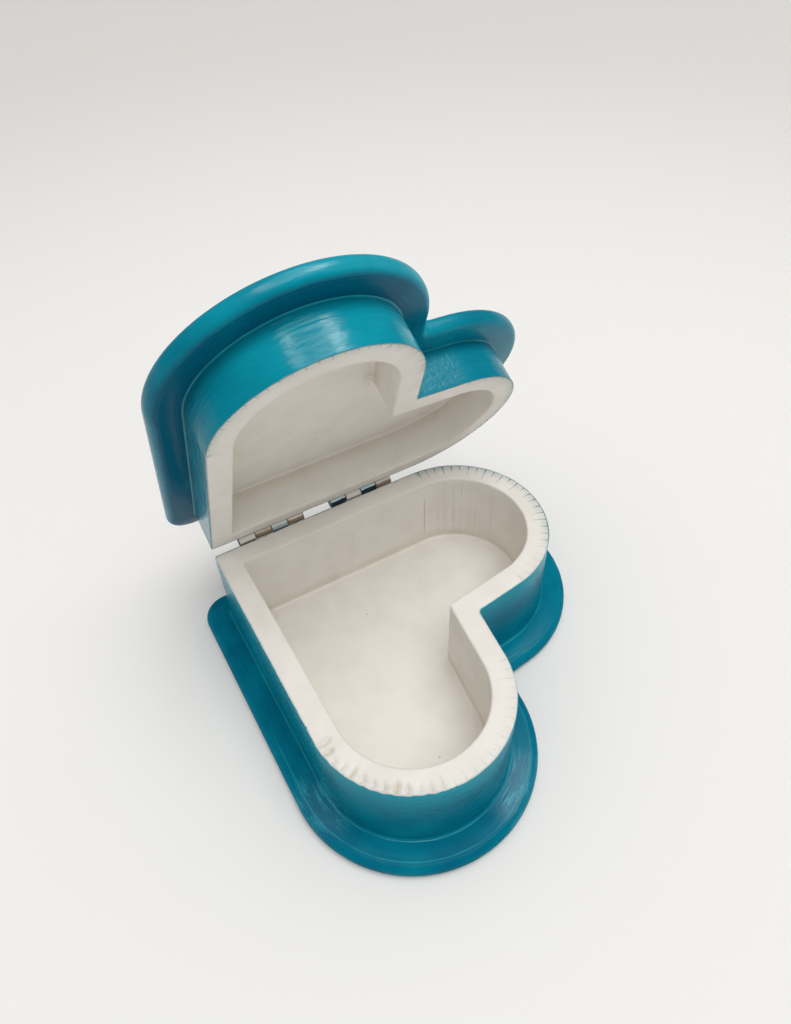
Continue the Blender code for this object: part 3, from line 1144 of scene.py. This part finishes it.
outer_profile = profile_curve("outer_bead_profile", bead_section(), True)
inner_profile = profile_curve(
    "inner_bead_profile", [(-outward, up) for outward, up in reversed(bead_section())], True
)
for half in PLACES:
    outer_radii, inner_radii = zip(WALL_POINT_RADIUS, WALL_NOTCH_RADIUS[half])
    recipes = {
        "outer": (heart(0, *outer_radii), outer_profile, OUTER_BEADS[half], bead_teal(half)),
        "inner": (heart(-WALL, *inner_radii), inner_profile, INNER_BEAD, old_glue(half)),
    }
    for side, (outline, profile, width, paint) in recipes.items():
        bead = draw_curve(half + "_" + side + "_bead", plan(outline), True)
        bead = run_tree(bead, bead_tree, {"Profile": profile, "Width": width, "Paint": paint})
        bead.data.transform(Matrix.Translation((0, 0, PLATE)))
        smooth(bead.data)
        settle(bead, half)
        print(bead.name, len(bead.data.polygons), "faces")

# %% [markdown]
# ## The hinges
#
# The leaves and pins keep their own shapes, which are right as they are. They need their finish:
# thin pressed brass, half hidden under whatever paint the brush left on it. The flat of each leaf is
# painted over with the box. The knuckles were wiped, and no two are alike, so each leaf's material
# names what its left and its right knuckle look like. Each knuckle's upper half is lighter as a
# painted highlight and its lower half darker as painted shade, and the gaps between knuckles and the
# line below them are painted shadow.

# %% Finish the hinges
BARREL = 1.65 * MM
KNUCKLE = 6.25 * MM
METAL_LEVEL = 0.4
METAL_ROUGHNESS = 0.4
BRASS = (0.68, 0.61, 0.50)
BROWN = (0.34, 0.24, 0.16)
KNUCKLE_SHADOW = (0.06, 0.05, 0.045)
GREY_TEAL = (0.78, 0.82, 0.78)
TEAL_KNUCKLE_HIGHLIGHT = (0.58, 0.74, 0.76)
TEAL_KNUCKLE_SHADE = (0.002, 0.03, 0.045)
LEAF_THIN = 0.1
LEAVES = {  # for each knuckle: its upper half with any painted highlight, its lower half with any painted shade, and how bare the metal is
    "hinge_1_base_leaf": ((CREAM_SHADE, CREAM_SHADE, 0.0), (GREY_TEAL, WASH, 0.0)),
    "hinge_1_lid_leaf": ((BRASS, BROWN, 0.25), (CREAM_SHADE, BROWN, 0.2)),
    "hinge_2_base_leaf": ((TEAL_KNUCKLE_HIGHLIGHT, TEAL_KNUCKLE_SHADE, 0.0), (TEAL_KNUCKLE_HIGHLIGHT, TEAL_KNUCKLE_SHADE, 0.0)),
    "hinge_2_lid_leaf": ((CREAM_SHADE, CREAM_SHADE, 0.0), (CREAM_SHADE, BROWN, 0.2)),
}


def leaf_finish(name, left, right):
    material, shader, where = new_material(name + "_finish", METAL_LEVEL)
    low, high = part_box(name)
    x, y, z = axes(where)
    ragged = grain(where, 700, 3) * (0.9 * MM)
    from_pin = distance_to(vector(0, y, z), (0, hinge_line.y, hinge_line.z)) + ragged
    flat = fade(from_pin, BARREL + 0.8 * MM, BARREL + 1.1 * MM)
    middle = (low.x + high.x) / 2
    to_right = fade(x, middle - 0.1 * MM, middle + 0.1 * MM)
    upwards = (y - hinge_line.y) + (z - hinge_line.z)
    # The upper half is lit and the lower half shaded: painted highlight and painted shade.
    upper = fade(upwards + ragged, 0.2 * MM, 0.5 * MM)
    sides = [blend(upper, below, above) for above, below, bare in (left, right)]
    # Dark gaps between the knuckles and a dark line below them: painted shadow.
    shadow_in_gaps = fade(off_centre(calc("DIVIDE", x - low.x, KNUCKLE)), 0.44, 0.49)
    shadow_below = fade(upwards, -2.0 * MM, -1.5 * MM, 0.8, 0.0)
    knuckle = blend(calc("MAXIMUM", shadow_in_gaps, shadow_below), blend(to_right, *sides), KNUCKLE_SHADOW)
    if left[2] or right[2]:
        feed(shader.inputs["Metallic"], mix(to_right, left[2], right[2]) * (1.0 - flat))
    streak = brushed(where, z)
    colour, rough, height = teal_layer(where, streak, "base", LEAF_THIN, FLAT_RIDGES)
    feed(shader.inputs["Specular IOR Level"], mix(flat, METAL_LEVEL, GLOSS_LEVEL))
    dress(shader, blend(flat, knuckle, colour), mix(flat, METAL_ROUGHNESS, rough), height)
    return material


def give(node, material):
    """Put a material on a carried-over solid."""
    mesh = frame["nodes"][node].data
    mesh.materials.clear()
    mesh.materials.append(material)


for name, (left, right) in LEAVES.items():
    give(name, leaf_finish(name, left, right))
print("finished", len(LEAVES), "leaves")

# %% [markdown]
# The pins are plain drawn wire. Drawing leaves fine lines along the wire, and tarnish has darkened
# it in clouds.

# %% Finish the pins
STEEL = (0.42, 0.42, 0.41)
TARNISH = (0.14, 0.11, 0.09)
ALONG_THE_WIRE = (100, 4000, 4000)
PINS = ("hinge_1_pin", "hinge_2_pin")
pin_steel, shader, where = new_material("pin_steel", METAL_LEVEL)
shader.inputs["Metallic"].default_value = 1.0
tarnish = grain(where, 1200, 3)
colour = blend(fade(tarnish, 0.45, 0.7), STEEL, TARNISH)
drawn = grain(stretched(where, ALONG_THE_WIRE), 1) * (0.01 * MM)
dress(shader, colour, fade(tarnish, 0.3, 0.7, 0.25, 0.45), drawn)
for name in PINS:
    give(name, pin_steel)
print("finished", len(PINS), "pins")

# %% [markdown]
# ## The screws
#
# Each leaf is held by two small slotted screws, which face backwards. One head is modelled, and a
# tree sets a copy on every point that marks a hole, each turned by chance as a driver leaves it.

# %% Model one screw head
HEAD_RADIUS = 1.5 * MM
HEAD_HEIGHT = 0.35 * MM
HEAD_TOP = 0.88  # the flat top, as a share of the head's radius
SHANK = 0.3 * MM
SLOT_HALF_WIDTH = 0.22 * MM
SLOT_DEPTH = 0.22 * MM
HEAD_STEPS = 24


def screw_head():
    """A low dome facing +Z, whose middle rows sink into a slot along X."""
    head = bmesh.new()
    rows = []
    sizes = ((HEAD_RADIUS, -SHANK), (HEAD_RADIUS, 0.0),
             (HEAD_TOP * HEAD_RADIUS, 0.5 * HEAD_HEIGHT))
    for radius, up in sizes:
        circle = arc((0, 0), radius, 0, 2 * math.pi, HEAD_STEPS)[:-1]
        rows.append([head.verts.new((x, y, up)) for x, y in circle])
    for first, second in zip(rows, rows[1:]):
        ring_of_faces(head, first, second)
    head.faces.new(rows[0])
    top = head.faces.new(rows[-1])
    for y in (-SLOT_HALF_WIDTH, SLOT_HALF_WIDTH):
        faces = [top] if y < 0 else [f for f in head.faces if len(f.verts) > 4]
        edges = [edge for face in faces for edge in face.edges]
        bmesh.ops.bisect_plane(head, geom=list(set(faces + edges)),
                               plane_co=(0, y, 0), plane_no=(0, 1, 0), dist=1e-7)
    slot = [f for f in head.faces
            if f.normal.z > 0.5 and abs(f.calc_center_median().y) < SLOT_HALF_WIDTH
            and f.calc_center_median().z > 0.4 * HEAD_HEIGHT]
    for face in bmesh.ops.extrude_discrete_faces(head, faces=slot)["faces"]:
        for vert in face.verts:
            vert.co.z -= SLOT_DEPTH
    return mesh_object("screw_head", head)


head = screw_head()
print("one head has", len(head.data.polygons), "faces")

# %% [markdown]
# The points lie on the outer face of each leaf, so the tree only has to face the heads backwards
# and spin them. Both come from one rotation, whose first angle is fixed and whose second is left
# to chance. All the heads of one half come out as one mesh.

# %% Set the screws
BACKWARDS = -math.pi / 2
SCREW_FROM_END = 5 * MM
SCREW_FROM_PIN = 6 * MM
LEAF_THICKNESS = 0.8 * MM
SIDES_OF_PIN = {"base": -1, "lid": 1}


def screw_paint(half):
    material, shader, place = new_paint("screw_paint", half, GLOSS_LEVEL)
    streak = brushed(place, axes(place)[2])
    colour, rough, height = teal_layer(place, streak, half, LEAF_THIN, FLAT_RIDGES)
    chips = patches(place, 1100, 0.58, 0.62, 0.0, 0.8)
    dress(shader, blend(chips, colour, BROWN), rough, height)
    return material


def screw_places(half):
    """Where the screws of one half's leaves sit while the lid is shut."""
    y = hinge_line.y - BARREL + LEAF_THICKNESS
    z = hinge_line.z + SIDES_OF_PIN[half] * SCREW_FROM_PIN
    places = []
    for leaf in ("hinge_1_base_leaf", "hinge_2_base_leaf"):
        low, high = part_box(leaf)
        places += [(x, y, z) for x in (low.x + SCREW_FROM_END, high.x - SCREW_FROM_END)]
    return places


screw_tree, given = new_tree(
    "leaf_screws", {"Head": "Object", "Seed": "Int", "Paint": "Material"}
)
angles = {"Min": (BACKWARDS, -math.pi, 0), "Max": (BACKWARDS, math.pi, 0), "Seed": given["Seed"]}
spin = made("FunctionNodeRandomValue", angles, data_type="FLOAT_VECTOR")
copies = {"Points": given["Geometry"], "Instance": shape_of(given["Head"]), "Rotation": spin}
end_tree(made("GeometryNodeInstanceOnPoints", copies), (True, given["Paint"]))

for seed, half in enumerate(PLACES):
    mesh = bpy.data.meshes.new(half + "_leaf_screws")
    mesh.from_pydata(screw_places(half), [], [])
    screws = run_tree(new_object(half + "_leaf_screws", mesh), screw_tree,
                      {"Head": head, "Seed": seed, "Paint": screw_paint(half)})
    if half == "lid":
        screws.data.transform(turn)
    smooth(screws.data)
    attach(screws, half)
    print(screws.name, len(screws.data.polygons), "faces")

for helper in (head, edge_profile, floor_border, outer_profile, inner_profile):
    bpy.data.objects.remove(helper)

# %% [markdown]
# ## Floor, light and camera
#
# The box stands on white paper in a bright room with a pale ceiling, which gives most of the
# light and hardly any shadow. The room is a sky that gets brighter upwards. A large soft light
# above and in front reaches under the open lid. Gloss paint shows the darker parts of a room, so
# the sky is dimmer for reflections.
#
# The other lights are there only for what the gloss reflects. Two of them are the pale bands on
# the lid's wall, and a weak wide one glows between those. A long bar is the line along the top
# plate's edge, and one further back adds a sheen. A light can be hidden from matt or from glossy
# surfaces, so these shape the highlights and leave the rest of the light alone.

# %% Floor and light
FLOOR_SIZE = 6.0
PAPER_LEVEL = 0.1
PAPER = (0.87, 0.86, 0.84)
PAPER_FALLOFF_SHADE = (0.71, 0.705, 0.68)
corner = FLOOR_SIZE / 2
floor_mesh = bpy.data.meshes.new("floor")
floor_mesh.from_pydata(
    [(-corner, -corner, 0), (corner, -corner, 0), (corner, corner, 0), (-corner, corner, 0)],
    [], [(0, 1, 2, 3)],
)
floor_object = new_object("floor", floor_mesh)
floor_object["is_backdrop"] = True
white_paper, shader, where = new_material("white_paper", PAPER_LEVEL)
away = distance_to(where, (0, 0, 0))
# Further from the box the paper is painted darker: painted shade for the light falling off.
feed(shader.inputs["Base Color"], blend(fade(away, 0.15, 0.75), PAPER, PAPER_FALLOFF_SHADE))
shader.inputs["Roughness"].default_value = 0.9
floor_mesh.materials.append(white_paper)

HORIZON = (0.30, 0.30, 0.30)
CEILING = (0.72, 0.71, 0.70)
DIM = 0.3
room = bpy.data.worlds.new("room")
room.use_nodes = True
tree = room.node_tree
upwards = axes(coordinates(tree, "Generated"))[2]
in_gloss = Value(add(tree, "ShaderNodeLightPath").outputs["Is Glossy Ray"])
sky = tree.nodes["Background"].inputs
feed(sky["Color"], blend(fade(upwards, -0.1, 0.8), HORIZON, CEILING))
feed(sky["Strength"], mix(in_gloss, 1.0, DIM))
bpy.context.scene.world = room
bpy.context.scene.view_settings.view_transform = "Standard"

AIM = Vector((17.26 * MM, 58.39 * MM, 17.7 * MM))
LIGHT_DISTANCE = 3.0
LIGHTS = {  # the direction it shines from, its size, its brightness, and whether only gloss sees it
    "light_soft": ((0.1, -0.25, 0.965), (2.0, 2.0), 3.2, False),
    "gloss_above": ((-0.18, 0.0, 0.98), (0.9, 0.5), 28, True),
    "gloss_right": ((0.43, 0.02, 0.9), (1.12, 0.5), 28, True),
    "gloss_glow": ((0.12, 0.02, 0.99), (3.4, 0.8), 4, True),
    "gloss_bar": ((0.15, -0.2, 0.97), (3.2, 0.4), 18, True),
    "gloss_back": ((0.35, 0.3, 0.88), (2.0, 0.7), 9, True),
}
for name, (direction, size, radiance, on_gloss) in LIGHTS.items():
    light = bpy.data.lights.new(name, "AREA")
    light.shape = "RECTANGLE"
    light.size, light.size_y = size
    light.energy = radiance * size[0] * size[1] * math.pi
    softbox = new_object(name, light)
    away = Vector(direction).normalized()
    softbox.location = AIM + away * LIGHT_DISTANCE
    softbox.rotation_euler = away.to_track_quat("Z", "Y").to_euler()
    softbox.visible_glossy = on_gloss
    softbox.visible_diffuse = not on_gloss
print("a floor and", len(LIGHTS), "lights in place")

# %% [markdown]
# The camera repeats the one that the outlines were matched with: its direction, its small roll,
# its distance and its focal length in pixels of a picture 1024 pixels tall.

# %% Camera
AZIMUTH = math.radians(-27.88)
ELEVATION = math.radians(46.83)
ROLL = math.radians(-2.44)
DISTANCE = 310.99 * MM
FOCAL_PIXELS = 781.57
PICTURE_HEIGHT = 1024
SENSOR = 36.0

back = Vector((math.sin(AZIMUTH) * math.cos(ELEVATION),
               -math.cos(AZIMUTH) * math.cos(ELEVATION), math.sin(ELEVATION)))
level = Vector((math.cos(AZIMUTH), math.sin(AZIMUTH), 0))
upright = back.cross(level)
right = level * math.cos(ROLL) + upright * math.sin(ROLL)
up = upright * math.cos(ROLL) - level * math.sin(ROLL)
camera_data = bpy.data.cameras.new("camera")
camera_data.sensor_width = SENSOR
camera_data.lens = FOCAL_PIXELS / PICTURE_HEIGHT * SENSOR
camera_data.clip_start = 0.01
camera = new_object("camera", camera_data)
camera.matrix_world = Matrix.Translation(AIM + back * DISTANCE) @ Matrix(
    (right, up, back)).transposed().to_4x4()
bpy.context.scene.camera = camera
print("lens", round(camera_data.lens, 2), "mm")

# %% [markdown]
# ## The sizes
#
# Both boxes are printed: the solids' box and the box round everything shown. The skins
# must stay inside the solids' box.

# %% Print the sizes
shown_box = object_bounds()
for label, (low, high) in (("solids", solid_box), ("shown", shown_box)):
    print(label, [round(v / MM, 2) for v in (*low, *high)])
